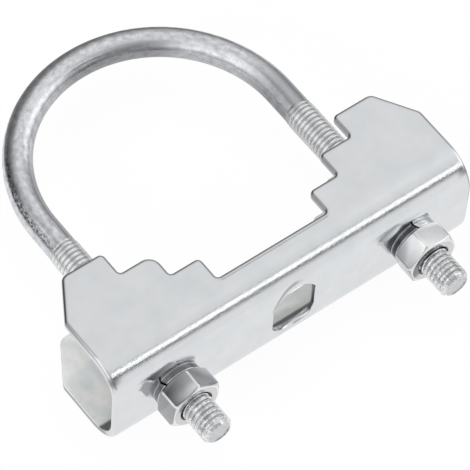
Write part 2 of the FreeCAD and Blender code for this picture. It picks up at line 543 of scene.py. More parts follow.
off_middle = np.abs(wire_depth - washer_height / 2)
on_edge = (wire_r > washer_r - edge_in) & (off_middle > washer_height / 2 - edge_deep)
for side, washer in washers.items():
    before, after = washer_painted_light[side]
    # the wire starts after the split and comes round to it again
    painted_light = np.where(on_edge, wire_edge_highlight, np.where(wire_share < 0.5, after, before))
    keep(washer, "painted_light", np.append(painted_light, [after, after]))
    print("washer", side, "mean tone", round(float(painted_light.mean()), 2))

# %% [markdown]
# ## The saddle
# The saddle is one sheet, punched flat and then folded, and it is drawn flat too: x along the saddle and q
# across the sheet, from the middle of the web. The sheet gets painted dark in three places: a painted dark
# line on the rolled rim and sheared wall of the jaws, painted shade in the corner inside the lower fold, and
# a painted dark reflection in the crease at the ends of the upper fold.

# %% Painted shade of the sheet
sheet = 2.0
fold_r = 9.0
height = saddle_high[2] - saddle_low[2]
half_length = (saddle_high[0] - saddle_low[0]) / 2
web_half = height / 2 - fold_r
fold_run = fold_r * math.pi / 2
flange_q = web_half + fold_run
sheet_shade = 0.64
upper_less = 0.55


def painted_shade_at(x, q, turn, flange, share):
    """Painted shade of a point from x, q, its turn in the fold, its way into the flange and its share of
    depth.
    """
    above, below = q > 0, q < 0
    on_jaw = np.maximum(ease(0.0, 1.0, flange), ease(0.6, 1.0, turn) * below)
    upper_wall = 1 - upper_less * ease(0.2, 0.4, share) * above
    # painted dark line on the jaws' rolled rim and sheared wall, less on the upper flange's wall
    wall = sheet_shade * band(0.02, 0.1, 0.85, 1.0, share) * upper_wall * on_jaw
    # painted shade in the corner inside the lower fold, reaching further near the left end
    dark_to = 0.95 + 0.2 * ease(half_length - 9, half_length - 5, -x)
    inner_corner = ease(0.2, 0.4, turn) * (1 - ease(0, 0.08, turn - dark_to)) * ease(0.85, 1.0, share) * below
    # painted dark reflection in the crease at both ends of the upper fold
    at_end = ease(half_length - 3.5, half_length - 1.2, np.abs(x))
    crease = sheet_shade * at_end * band(0.6, 0.7, 0.8, 0.95, turn) * (1 - share) * above
    return np.max([wall, inner_corner, crease], 0)


print("blank:", round(2 * half_length, 1), "mm long, folds start", round(web_half, 1), "mm from its middle")

# %% [markdown]
# One function folds a flat point and a depth below the outer face into space, and every patch of the saddle
# goes through it: the web, the folds, the flanges, the rims and the holes. The patches share their border
# points, so welding them gives one closed skin. With its place each point gets three numbers: depth, bend and
# painted shade.


# %% Fold a flat sheet
def folded(x, q, depth):
    """Flat web up to web_half, a quarter turn of fold_r, the flange; gives x, y, z, depth, bend and painted
    shade.

    In the fold a point moves on a circle of fold_r less its depth: y falls by the cosine of its turn, and
    the rise grows by the sine."""
    x, q, depth = np.broadcast_arrays(np.asarray(x, float), np.asarray(q, float), np.asarray(depth, float))
    turn = np.clip((np.abs(q) - web_half) / fold_r, 0, math.pi / 2)
    flange = np.maximum(np.abs(q) - flange_q, 0)
    y = fold_r - (fold_r - depth) * np.cos(turn) + flange
    rise = np.minimum(np.abs(q), web_half) + (fold_r - depth) * np.sin(turn)
    share = depth / sheet
    shade_and_stain = painted_shade_at(x, q, turn, flange, share)
    return np.stack([x, web_y + y, mid_z + np.sign(q) * rise, share, np.sin(2 * turn), shade_and_stain], -1)


print("end of the upper fold at", folded(0, flange_q, 0)[:3].round(2))

# %% [markdown]
# The outline of the flange is the jaw: treads and risers with rounded corners. A rounded corner is an arc
# that touches both sides. Each point of the outline keeps its outward normal, so a line at any distance
# inside the edge is the outline less the normal times that distance.

# %% Rounded path
arc_points = 10


def rounded_path(corners):
    """Points and outward normals along an open path (x, y, radius) whose inner corners become arcs.

    The centre of an arc lies on the bisector of its corner, radius / sin(half the angle) away from it."""
    corners = np.array(corners, float)
    spot, normal = [], []
    for before, here, after in zip(corners[:-2], corners[1:-1], corners[2:]):
        back = (before - here)[:2] / np.linalg.norm((before - here)[:2])
        on = (after - here)[:2] / np.linalg.norm((after - here)[:2])
        half = math.acos(np.clip(back @ on, -1, 1)) / 2
        inwards = (back + on) / np.linalg.norm(back + on)
        centre = here[:2] + inwards * here[2] / math.sin(half)
        bend = math.pi / 2 - half
        swing = np.linspace(-bend, bend, arc_points)[:, None]
        hand = np.sign(back[0] * on[1] - back[1] * on[0])
        across = np.array([inwards[1], -inwards[0]]) * hand
        ray = -inwards * np.cos(swing) - across * np.sin(swing)
        spot.append(centre + here[2] * ray)
        # turning the other way at a notch, the outward normal points to the arc's centre
        normal.append(ray * (-1 if hand > 0 else 1))
    return np.vstack(spot), np.vstack(normal)


corner_spot = rounded_path([(1, 0, 0), (1, 1, 0.5), (0, 1, 0)])[0]
print("an arc from", corner_spot[0].round(2), "to", corner_spot[-1].round(2))

# %% [markdown]
# The jaw has three steps on each side, with equal risers. The steps let masts of different thickness sit
# deep between the teeth. One middle tooth is blunter than the others, so each half gets the radius of its
# own.

# %% Jaw outline
base_depth = 10.45
riser = 6.95
step_half = [15.9, 24.2, 33.5]
back_half = 44.9
end_depth = 20.5
notch_r, tooth_r, blunt_r, cut_r = 0.9, 1.4, 3.2, 2.4


def jaw_corners(hand, middle_r):
    """Corners of half a jaw, from the end of the saddle round the cut corner and down the steps."""
    depth = [base_depth + riser * k for k in range(4)]
    points = [(half_length, end_depth, cut_r), (back_half, depth[3], cut_r)]
    points += [(step_half[2], depth[3], tooth_r), (step_half[2], depth[2], notch_r)]
    points += [(step_half[1], depth[2], middle_r), (step_half[1], depth[1], notch_r)]
    points += [(step_half[0], depth[1], tooth_r), (step_half[0], depth[0], notch_r)]
    return [(hand * x, y, r) for x, y, r in points]


jaw = jaw_corners(1, tooth_r) + jaw_corners(-1, blunt_r)[::-1]
jaw_spot, jaw_normal = rounded_path([(half_length, fold_r, 0)] + jaw + [(-half_length, fold_r, 0)])
print("jaw outline:", len(jaw_spot), "points")
print("its normals turn from", jaw_normal[0].round(2), "to", jaw_normal[-1].round(2))

# %% [markdown]
# Punching rolls the upper rim over and leaves a straight sheared wall. A bevel would be the same on both
# faces, so the profile is drawn instead: a distance inside the edge and a depth below the face. It is
# carried once round the whole outline. On the ends of the saddle the outline runs down through the folds
# and the web.

# %% Rim all round
rim_profile = np.array([
    (1.3, 0.0), (1.2, 0.0), (0.92, 0.016), (0.64, 0.065), (0.36, 0.17), (0.15, 0.34), (0.04, 0.54),
    (0.0, 0.76), (0.0, 1.75), (0.04, 1.9), (0.13, 1.98), (0.25, 2.0), (0.4, 2.0),
])
flat_strip = 0.25
fold_steps = 25
fold_rows = web_half + fold_run * np.linspace(0, 1, fold_steps)
last_row = flange_q + flat_strip
end_rows = np.concatenate([[-last_row], -fold_rows[::-1], fold_rows, [last_row]])

top_x, top_q = jaw_spot[:, 0], jaw_spot[:, 1] - fold_r + flange_q
end_x = np.full(len(end_rows), half_length)
loop_x = np.concatenate([end_x, top_x, -end_x, top_x[::-1]])
loop_q = np.concatenate([end_rows, top_q, end_rows[::-1], -top_q[::-1]])
ahead = np.tile([1.0, 0.0], (len(end_rows), 1))
loop_normal = np.vstack([ahead, jaw_normal, -ahead, jaw_normal[::-1] * [1, -1]])


def loop_at(inset):
    """The outline moved inwards by inset, as flat x and q."""
    return loop_x - inset * loop_normal[:, 0], loop_q - inset * loop_normal[:, 1]


rim_points = np.stack([folded(*loop_at(inset), depth) for inset, depth in rim_profile])
patches = [(rim_points, True)]
print("rim:", rim_points.shape[1], "points round,", rim_points.shape[0], "across")

# %% [markdown]
# The web has three holes: two for the legs and a slot in the middle that runs into both folds. Their rims
# are profiles too, a distance outside the hole's edge and a depth below the face. The slot's punch rolled
# its rim much wider, and drew the lip in at the upper end.

# %% Hole shapes
leg_hole_r = 4.5
slot_half_width = 6.2
slot_half_height = 8.5
slot_centre = slot_half_height - slot_half_width
slot_lip = 0.8
tiny = 1e-9
leg_profile = np.array([
    (0.7, 0.0), (0.45, 0.02), (0.25, 0.08), (0.1, 0.2), (0.02, 0.36), (0.0, 0.5),
    (0.0, 1.8), (0.05, 1.93), (0.15, 2.0), (0.3, 2.0),
])
slot_profile = np.array([
    (1.7, 0.0), (1.5, 0.01), (1.2, 0.05), (0.85, 0.15), (0.55, 0.29), (0.3, 0.47), (0.12, 0.68), (0.03, 0.88),
    (0.0, 1.05), (0.0, 1.8), (0.05, 1.93), (0.15, 2.0), (0.3, 2.0),
])


def leg_reach(angle, grow):
    """Distance from the middle to the edge of a leg hole, a circle."""
    return np.full_like(angle, leg_hole_r + grow)


def slot_reach(angle, grow):
    """Distance from the middle to the edge of the slot: half circles, straight sides, and the upper lip.

    On a side it is the half width over the cosine; on an end it is where the ray leaves the end's circle."""
    wide = slot_half_width + grow
    cos, sin = np.abs(np.cos(angle)), np.abs(np.sin(angle))
    round_end = slot_centre * sin + np.sqrt(wide ** 2 - (slot_centre * cos) ** 2)
    straight = wide / np.maximum(cos, tiny)
    drawn = slot_lip * ease(0.3, 0.9, np.sin(angle)) * (1 - grow / slot_profile[0, 0])
    return np.where(straight * sin <= slot_centre, straight, round_end) - drawn


slot_ends = slot_reach(np.radians([90.0, -90.0]), 0.0)
print("slot reaches", slot_ends.round(2), "mm up and down")

# %% [markdown]
# A round hole in a grid is easiest inside a rectangle: the rectangle keeps the grid's points on its border,
# and rays run from each of them to the hole's rim. So the columns of the folds are the x places that the
# rectangles need, with more between them.

# %% Columns and rectangles
slot_cell = 9.5
slot_row = 11
end_gap = 1.5
leg_columns = leg_x + np.linspace(-web_half, web_half, 9)
slot_columns = np.linspace(-slot_cell, slot_cell, 13)
between = np.linspace(slot_cell, leg_columns[0], 9)[1:-1]
outside = np.linspace(leg_columns[-1], half_length - end_gap, 7)[1:]


def column_places(inset):
    """All x places of the columns, from end to end; the end columns lie on the rim's inner line."""
    right = np.concatenate([between, leg_columns, outside, [half_length - inset]])
    return np.concatenate([-right[::-1], slot_columns, right])


def rectangle_points(xs, qs):
    """Points once round a rectangle, anticlockwise from the lower right corner, at the given places."""
    right, left = np.full(len(qs) - 1, xs[-1]), np.full(len(qs) - 1, xs[0])
    upper, lower = np.full(len(xs) - 1, qs[-1]), np.full(len(xs) - 1, qs[0])
    x = np.concatenate([right, xs[:0:-1], left, xs[:-1]])
    q = np.concatenate([qs[:-1], upper, qs[:0:-1], lower])
    return x, q


print("columns:", len(column_places(0.0)), "from end to end")

# %% [markdown]
# The rim of a hole is its profile carried round, as the outline's rim is. A hole is cut straight along y,
# so a height that lies on a fold is first turned back into the flat q. On both faces rings then grow evenly
# from the rim to the rectangle.


# %% Patches of a hole
def unfold_z(z):
    """Flat q of a height z from the middle of the web: straight on the web, an arc sine on a fold."""
    over = np.clip(np.abs(z) - web_half, 0, fold_r)
    return np.sign(z) * (np.minimum(np.abs(z), web_half) + fold_r * np.arcsin(over / fold_r))


def hole_patches(x0, xs, qs, reach, profile, rings):
    """Rim of one hole, and the rays from it to its rectangle on both faces of the sheet."""
    box_x, box_q = rectangle_points(xs, qs)
    angle = np.arctan2(box_q, box_x - x0)

    def edge(grow):
        """Edge of the hole moved outwards by grow, as flat x and q."""
        far = reach(angle, grow)
        return x0 + far * np.cos(angle), unfold_z(far * np.sin(angle))

    found = [(np.stack([folded(*edge(grow), depth) for grow, depth in profile]), True)]
    share = np.linspace(0, 1, rings)[:, None]
    for grow, depth in (profile[0], profile[-1]):
        hole_x, hole_q = edge(grow)
        ring_x = hole_x + (box_x - hole_x) * share
        ring_q = hole_q + (box_q - hole_q) * share
        found.append((folded(ring_x, ring_q, depth), True))
    return found


slot_rings, leg_rings = 9, 3
slot_rows = np.concatenate([-fold_rows[slot_row::-1], fold_rows[:slot_row + 1]])
slot_patches = hole_patches(0.0, slot_columns, slot_rows, slot_reach, slot_profile, slot_rings)
leg_rows = np.array([-web_half, web_half])
leg_patches = []
for side in (-1, 1):
    xs = np.sort(side * leg_columns)
    leg_patches += hole_patches(side * leg_x, xs, leg_rows, leg_reach, leg_profile, leg_rings)
patches += slot_patches + leg_patches
print("patches with the holes:", len(patches))

# %% [markdown]
# The slot shows its wall, so it gets two dark marks more: painted shade on its right side, and a fine line
# where the roll begins on the upper left. They go into the last of each point's six numbers.

# %% Slot shade
slot_wall = slot_patches[0][0]
wall_x, wall_z, wall_share, wall_shade = [slot_wall[..., k] for k in (0, 2, 3, 5)]
# painted shade on the slot's right wall
wall_shade[:] = np.maximum(wall_shade, ease(0.4, 0.5, wall_share) * ease(4.2, 5.4, wall_x))
roll = slice(1, 3)
wall_shade[roll] = 0.5 * ease(4.0, 6.0, wall_z[roll] - mid_z) * (1 - ease(0.0, 2.0, wall_x[roll]))
print("stained points of the slot's rim:", int((wall_shade > 0.3).sum()), "of", wall_shade.size)

# %% [markdown]
# The faces inside the rim come last, once for the outer and once for the inner side. The folds and the web
# are grids that leave out the holes' rectangles. A flange is flat, so one many-sided face fills it: along
# the rim's line from end to end, and back along the fold.

# %% Folds, web and flanges
near = 1e-6
fold_grid_rows = np.append(fold_rows, last_row)


def fold_grids(columns, up, depth):
    """A fold in three blocks: left of the slot's rectangle, beyond it, and right of it."""
    left = columns[columns <= -slot_cell + near]
    over_slot = columns[np.abs(columns) <= slot_cell + near]
    right = columns[columns >= slot_cell - near]
    blocks = ((left, fold_grid_rows), (over_slot, fold_grid_rows[slot_row:]), (right, fold_grid_rows))
    return [(folded(xs[None, :], up * qs[:, None], depth), False) for xs, qs in blocks]


def flange_face(columns, inset, up, depth):
    """Corners of a flange: the rim's line moved in by inset, then the columns on the fold's last row."""
    loop = np.stack(loop_at(inset), -1)
    start = len(end_rows) - 1 if up > 0 else 2 * len(end_rows) + len(top_x) - 1
    line = np.roll(loop, -start, 0)[:len(top_x) + 2]
    back = columns[1:-1] if up > 0 else columns[-2:0:-1]
    line = np.vstack([line, np.stack([back, np.full(len(back), up * last_row)], -1)])
    return folded(line[:, 0], line[:, 1], depth)


def web_grids(columns, depth):
    """The flat web between the rectangles of the holes, and between them and the ends."""
    gaps = [columns[columns <= -leg_columns[-1] + near]]
    gaps += [columns[(columns >= -leg_columns[0] - near) & (columns <= -slot_cell + near)]]
    gaps += [-gap[::-1] for gap in gaps]
    return [(folded(xs[None, :], leg_rows[:, None], depth), False) for xs in gaps]


flanges = []
for inset, depth in ((rim_profile[0, 0], 0.0), (rim_profile[-1, 0], sheet)):
    columns = column_places(inset)
    for up in (-1, 1):
        patches += fold_grids(columns, up, depth)
        flanges.append(flange_face(columns, inset, up, depth))
    patches += web_grids(columns, depth)
print("patches in all:", len(patches), "and flat flanges:", len(flanges))

# %% [markdown]
# Now the patches are one list of points and faces with double points along their borders. Merging points
# that lie closer than a hair makes one skin, and Blender then turns all faces outwards. An edge with other
# than two faces would be a hole, so those are counted. The flat flanges stay flat shaded, the rest is
# smooth.

# %% Weld the saddle
weld_gap = 0.002 * mm
most_grid_sides = 4


def joined(grids, polygons):
    """All points with their numbers, the corner list, and each face's number of corners."""
    points, loops, counts, start = [], [], [], 0
    for grid, closed in grids:
        rows, columns = grid.shape[:2]
        quads = grid_quads(rows, columns, round_columns=closed) + start
        points.append(grid.reshape(-1, 6))
        loops.append(quads.ravel())
        counts.append(np.full(len(quads), 4))
        start += rows * columns
    for polygon in polygons:
        points.append(polygon)
        loops.append(np.arange(len(polygon)) + start)
        counts.append(np.array([len(polygon)]))
        start += len(polygon)
    return np.vstack(points), np.concatenate(loops), np.concatenate(counts)


def weld(name, grids, polygons):
    """One closed skin from grids and flat many-sided faces that share their border points."""
    points, loops, counts = joined(grids, polygons)
    piece = put_mesh(name, points[:, :3], loops, counts)
    keep(piece, "inside", ease(0.88, 1.0, points[:, 3]))
    keep(piece, "bend", points[:, 4])
    keep(piece, "rim", points[:, 5])
    work = bmesh.new()
    work.from_mesh(piece.data)
    bmesh.ops.remove_doubles(work, verts=work.verts, dist=weld_gap)
    bmesh.ops.recalc_face_normals(work, faces=work.faces)
    open_edges = sum(len(e.link_faces) != 2 for e in work.edges)
    volume = work.calc_volume(signed=True) / mm ** 3
    work.to_mesh(piece.data)
    work.free()
    sides = np.empty(len(piece.data.polygons), np.int32)
    piece.data.polygons.foreach_get("loop_total", sides)
    piece.data.polygons.foreach_set("use_smooth", sides <= most_grid_sides)
    print(name, len(sides), "faces,", open_edges, "open edges, volume", round(volume, 1), "mm3")
    return piece


saddle = weld("folded_saddle", patches, flanges)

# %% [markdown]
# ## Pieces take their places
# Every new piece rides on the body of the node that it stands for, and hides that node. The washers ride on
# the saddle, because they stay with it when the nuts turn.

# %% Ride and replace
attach(rod, "u_bolt")
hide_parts("u_bolt")
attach(saddle, "saddle")
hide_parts("saddle")
for side in ("left", "right"):
    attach(nuts[side], "nut_" + side)
    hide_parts("nut_" + side)
    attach(washers[side], "saddle")
    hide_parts("spring_washer_" + side)
print("pieces placed")

# %% [markdown]
# ## Zinc
# Bright zinc is a metal with a cloudy grain: patches a few millimetres wide differ a little in tone, a
# finer grain changes their gloss, and the skin has a faint peel, like an orange. All finishes of the clamp
# need these three, so one node group makes them from a position, and each finish sets its own scales.

# %% Cloudy zinc group
# each pattern's usual scale, its detail and its roughness
patterns = {"Cloud": (120.0, 4, 0.55), "Grain": (1500.0, 3, 0.7), "Peel": (1300.0, 0, 0.5)}


def zinc_group():
    """Group with a position and three scales in, and out a noise for clouds, for grain and for peel."""
    group = bpy.data.node_groups.new("cloudy_zinc", "ShaderNodeTree")
    group.interface.new_socket("Position", in_out="INPUT", socket_type="NodeSocketVector")
    for name, (scale, detail, roughness) in patterns.items():
        socket = group.interface.new_socket(name + " Scale", in_out="INPUT", socket_type="NodeSocketFloat")
        socket.default_value = scale
        group.interface.new_socket(name, in_out="OUTPUT", socket_type="NodeSocketFloat")
    start = group.nodes.new("NodeGroupInput")
    end = group.nodes.new("NodeGroupOutput")
    for name, (scale, detail, roughness) in patterns.items():
        noise = group.nodes.new("ShaderNodeTexNoise")
        noise.inputs["Detail"].default_value = detail
        noise.inputs["Roughness"].default_value = roughness
        group.links.new(start.outputs["Position"], noise.inputs["Vector"])
        group.links.new(start.outputs[name + " Scale"], noise.inputs["Scale"])
        group.links.new(noise.outputs["Fac"], end.inputs[name])
    return group


cloudy_zinc = zinc_group()
print("group", cloudy_zinc.name, "with", len(cloudy_zinc.nodes), "nodes")

# %% [markdown]
# Materials, the table and the tent are all built from a few kinds of nodes. They could be made one by one
# in the editor, but here a small function for each kind makes the node, fills its inputs and gives back its
# output. An input takes a link or a plain value.


# %% Node helpers
def feed(tree, value, socket):
    """Links a socket to another, or sets a number or a colour on it."""
    if isinstance(value, bpy.types.NodeSocket):
        tree.links.new(value, socket)
    else:
        socket.default_value = value


def stored(tree, name, output="Fac"):
    """Number, or vector, that the piece keeps at every point."""
    node = tree.nodes.new("ShaderNodeAttribute")
    node.attribute_name = name
    return node.outputs[output]


def maths(tree, operation, *values):
    """One arithmetic node."""
    node = tree.nodes.new("ShaderNodeMath")
    node.operation = operation
    for slot, value in enumerate(values):
        feed(tree, value, node.inputs[slot])
    return node.outputs["Value"]


print("node helpers:", [helper.__name__ for helper in (feed, stored, maths)])

# %% [markdown]
# Three more kinds turn a pattern into a tone. A range carries a value from one span to another, a mix goes
# from one value to another by a share, and a ramp holds colours along a value.


# %% Ranges, mixes and ramps
def spread(tree, value, low, high, to_low=0.0, to_high=1.0, smooth=False):
    """Carries a value from low..high to to_low..to_high, in a straight line or as a smooth step."""
    node = tree.nodes.new("ShaderNodeMapRange")
    node.interpolation_type = "SMOOTHSTEP" if smooth else "LINEAR"
    for name, number in (("From Min", low), ("From Max", high), ("To Min", to_low), ("To Max", to_high)):
        node.inputs[name].default_value = number
    tree.links.new(value, node.inputs["Value"])
    return node.outputs["Result"]


def mixed(tree, share, one, two, kind="RGBA"):
    """Mix from one to two by a share."""
    node = tree.nodes.new("ShaderNodeMix")
    node.data_type = kind
    for name, value in (("Factor", share), ("A", one), ("B", two)):
        feed(tree, value, node.inputs[name])
    return node.outputs["Result"]


def ramp(tree, value, stops):
    """Colour ramp along a value from 0 to 1, given as pairs of place and colour."""
    node = tree.nodes.new("ShaderNodeValToRGB")
    elements = node.color_ramp.elements
    elements[0].position, elements[1].position = stops[0][0], stops[-1][0]
    elements[0].color, elements[1].color = (*stops[0][1], 1), (*stops[-1][1], 1)
    for place, colour in stops[1:-1]:
        elements.new(place).color = (*colour, 1)
    tree.links.new(value, node.inputs["Fac"])
    return node.outputs["Color"]


print("tone helpers:", [helper.__name__ for helper in (spread, mixed, ramp)])

# %% [markdown]
# Stains and painted shade on zinc are dark grey and patchy. Each is a stored number times a pattern, so that
# it never looks painted, and it mixes the colour towards grey. The peel is far too fine for the mesh, so a
# bump node tilts the normal instead, and a stored number can make it stronger in places.

# %% Stains, painted shade and relief
# one dark grey for real stains and painted shade alike
shade_and_stain_colour = (0.1, 0.1, 0.11, 1)
peel_depth = 0.0002


def zinc_patterns(tree, position, scales):
    """The group's three patterns on a stored position, or without one on the object's own coordinates."""
    effect = tree.nodes.new("ShaderNodeGroup")
    effect.node_tree = cloudy_zinc
    if position:
        where = stored(tree, position, "Vector")
    else:
        where = tree.nodes.new("ShaderNodeTexCoord").outputs["Object"]
    tree.links.new(where, effect.inputs["Position"])
    for name, scale in zip(patterns, scales):
        effect.inputs[name + " Scale"].default_value = scale
    return effect.outputs


def shaded_and_stained(tree, colour, number, pattern, low, high, least):
    """Colour darkened towards grey by a stored number times a pattern, of which the least share stays
    everywhere; it serves real marks and painted shade alike.
    """
    share = maths(tree, "MULTIPLY", stored(tree, number), spread(tree, pattern, low, high, least, 1))
    return mixed(tree, share, colour, shade_and_stain_colour)


def relief(tree, pattern, strength, number=None, strength_there=None):
    """Normal bumped by a pattern; a stored number leads from strength to strength_there."""
    node = tree.nodes.new("ShaderNodeBump")
    node.inputs["Distance"].default_value = peel_depth
    if number:
        strength = spread(tree, stored(tree, number), 0, 1, strength, strength_there)
    feed(tree, strength, node.inputs["Strength"])
    tree.links.new(pattern, node.inputs["Height"])
    return node.outputs["Normal"]


print("stains are mixed towards", shade_and_stain_colour[:3])

# %% [markdown]
# A finish blends from one look to another by a stored number, as from shank to thread. Two materials on one
# piece would meet in a hard line. Clouds choose between the dark and the light colour of a look, and grain
# between its glosses. How metallic a finish is gets a link only where it changes.

# %% Zinc finish
noise_range = (0.3, 0.7)


def zinc(name, position, scales, one, two, by, bump, shades_and_stains=()):
    """Zinc finish that blends from look one to look two by a stored number.

    A look is a dark and a light colour, the least and most roughness, and how metallic it is. A bump is its
    strength and, where that changes, a stored number and the strength where it is 1. Each darkening entry,
    for real marks and painted shade alike, is a stored number, the pattern that breaks it up, the pattern's
    range and the least share of the darkening."""
    material = bpy.data.materials.new(name)
    material.use_nodes = True
    tree = material.node_tree
    shader = tree.nodes["Principled BSDF"]
    noise = zinc_patterns(tree, position, scales)
    share = stored(tree, by)
    colours, glosses, metals = [], [], []
    for dark, light, least, most, metallic in (one, two):
        colours.append(ramp(tree, noise["Cloud"], list(zip(noise_range, (dark, light)))))
        glosses.append(spread(tree, noise["Grain"], *noise_range, least, most))
        metals.append(metallic)
    colour = mixed(tree, share, *colours)
    for number, pattern, low, high, least in shades_and_stains:
        colour = shaded_and_stained(tree, colour, number, noise[pattern], low, high, least)
    metal = metals[0] if metals[0] == metals[1] else spread(tree, share, 0, 1, *metals)
    feed(tree, colour, shader.inputs["Base Color"])
    feed(tree, mixed(tree, share, *glosses, kind="FLOAT"), shader.inputs["Roughness"])
    feed(tree, metal, shader.inputs["Metallic"])
    feed(tree, relief(tree, noise["Peel"], *bump), shader.inputs["Normal"])
    return material


print("noise between", noise_range, "leads from dark to light")

# %% [markdown]
# There are four finishes. The sheet is satin outside and duller, less like metal, inside. The rod is mottled,
# and its thread brighter. Nuts and washers share two looks, nearly black and nearly white, and the painted
# reflections, highlights and shade stored on them choose between the two.

# %% Zinc materials
sheet_out = ((0.775, 0.797, 0.815), (0.835, 0.852, 0.872), 0.09, 0.16, 1.0)
sheet_in = ((0.65, 0.70, 0.71), (0.98, 0.95, 0.925), 0.35, 0.5, 0.4)
shank = ((0.56, 0.57, 0.59), (0.91, 0.92, 0.955), 0.18, 0.28, 1.0)
thread_look = ((0.78, 0.79, 0.80), (1.0, 1.0, 1.0), 0.12, 0.28, 1.0)
nut_dark = ((0.0, 0.0, 0.0), (0.02, 0.02, 0.03), 0.08, 0.18, 1.0)
nut_light = ((0.85, 0.86, 0.88), (1.0, 1.0, 1.0), 0.08, 0.18, 1.0)

# painted shade and dark reflection: the jaws' rim line, the lower fold's inner corner and the upper fold's
# ends
sheet_shades = [("rim", "Cloud", 0.35, 0.62, 0.9)]
# painted shade in thread valleys and on end rims with the shank's darker places, the painted dark reflection
# on the left leg, and real speckle
rod_shades_and_stains = [
    ("shade_and_stain", "Cloud", 0.35, 0.62, 0.3),
    ("dark_reflection", "Grain", 0.42, 0.57, 0.1),
    ("speck", "Grain", 0.48, 0.58, 0.0),
]
sheet_zinc = zinc("zinc_sheet", None, (160, 1800, 3300), sheet_out, sheet_in, "inside",
                  (0.006, "bend", 0.1), sheet_shades)
rod_zinc = zinc("zinc_rod", "along_rod", (850, 2000, 1200), shank, thread_look, "crest_and_valley_shade",
                (0.08, "glint", 0.8), rod_shades_and_stains)
nut_zinc = zinc("zinc_nut", None, (160, 1600, 500), nut_dark, nut_light, "painted_light", (0.015,))
washer_zinc = zinc("zinc_washer", None, (160, 1600, 500), nut_dark, nut_light, "painted_light", (0.015,))
rod.data.materials.append(rod_zinc)
saddle.data.materials.append(sheet_zinc)
for side in ("left", "right"):
    nuts[side].data.materials.append(nut_zinc)
    washers[side].data.materials.append(washer_zinc)
print("finishes:", [finish.name for finish in (sheet_zinc, rod_zinc, nut_zinc, washer_zinc)])

# %% [markdown]
# ## The table
# The clamp lies on a white table. To the camera the table is plain white, with the clamp's soft shadow.
# Polished metal also mirrors it, and a real table is not evenly lit: it is bright around the clamp, shaded
# inside the U, and darker far away. So rays from the metal see that pattern, and all others a white cloth.

# %% Table mesh
table_half = 1.5
table_mesh = bpy.data.meshes.new("table")
corners = table_half * np.array([(-1, -1, 0), (1, -1, 0), (1, 1, 0), (-1, 1, 0)])
table_mesh.from_pydata(corners.tolist(), [], [(0, 1, 2, 3)])
table = bpy.data.objects.new("table", table_mesh)
bpy.context.scene.collection.objects.link(table)
print("table", 2 * table_half, "m wide")

# %% [markdown]
# The pattern is arithmetic on the place in metres. The bright part ends behind the bend and on both sides
# of the clamp, and widens towards the front. Two ellipses follow: the shade inside the U takes light away,
# and a bright spot beside the left leg gives some back.

# %% Mirrored table
web_front = 0.037
widening = 0.8
left_share = -0.76
side_edge = (0.056, 0.066)
back_edge = (0.064, 0.076)
near_level = 0.88
far_level, far_front = 0.16, 0.42
far_edge = (0.045, 0.065)
right_part, right_slope = 0.03, -0.5
# ellipses: middle x and y, half widths, and the squared distances between which they fade
u_ellipse, u_edge, u_shade = (0.0, 0.018, 0.036, 0.038), (0.75, 1.3), 0.28
spot_ellipse, spot_edge, spot_level = (-0.085, 0.05, 0.05, 0.05), (0.7, 1.3), 0.75

white = bpy.data.materials.new("white_table")
white.use_nodes = True
tree = white.node_tree
axes = tree.nodes.new("ShaderNodeSeparateXYZ")
tree.links.new(tree.nodes.new("ShaderNodeTexCoord").outputs["Object"], axes.inputs["Vector"])
x, y = axes.outputs["X"], axes.outputs["Y"]


def fade(value, full, none):
    """1 up to full, falling smoothly to 0 at none."""
    return spread(tree, value, none, full, smooth=True)


def ellipse(middle_x, middle_y, half_x, half_y):
    """Squared distance from the middle of an ellipse, in half widths: 1 on its edge."""
    across = maths(tree, "POWER", maths(tree, "DIVIDE", maths(tree, "SUBTRACT", x, middle_x), half_x), 2.0)
    along = maths(tree, "POWER", maths(tree, "DIVIDE", maths(tree, "SUBTRACT", y, middle_y), half_y), 2.0)
    return maths(tree, "ADD", across, along)


in_front = maths(tree, "MINIMUM", maths(tree, "ADD", y, web_front), 0.0)
to_side = maths(tree, "MAXIMUM", x, maths(tree, "MULTIPLY", x, left_share))
sideways = maths(tree, "MULTIPLY_ADD", in_front, widening, to_side)
near_clamp = maths(tree, "MULTIPLY", fade(sideways, *side_edge), fade(y, *back_edge))
on_right = maths(tree, "MAXIMUM", maths(tree, "SUBTRACT", x, right_part), 0.0)
behind = maths(tree, "MULTIPLY_ADD", on_right, right_slope, y)
far = maths(tree, "MULTIPLY_ADD", fade(behind, *far_edge), far_front, far_level)
mirrored = maths(tree, "MULTIPLY_ADD", near_clamp, maths(tree, "SUBTRACT", near_level, far), far)
in_u = fade(ellipse(*u_ellipse), *u_edge)
mirrored = maths(tree, "SUBTRACT", mirrored, maths(tree, "MULTIPLY", in_u, u_shade))
in_spot = fade(ellipse(*spot_ellipse), *spot_edge)
mirrored = maths(tree, "MAXIMUM", mirrored, maths(tree, "MULTIPLY", in_spot, spot_level))
print("mirrored table:", len(tree.nodes), "nodes")

# %% [markdown]
# Light Path tells which ray asks. For camera rays the table glows with a strength of 1, which is white, and
# for mirror rays with the pattern. A small share of plain cloth stays in both, and that share keeps the
# shadow.

# %% White table
glow_share = 0.95

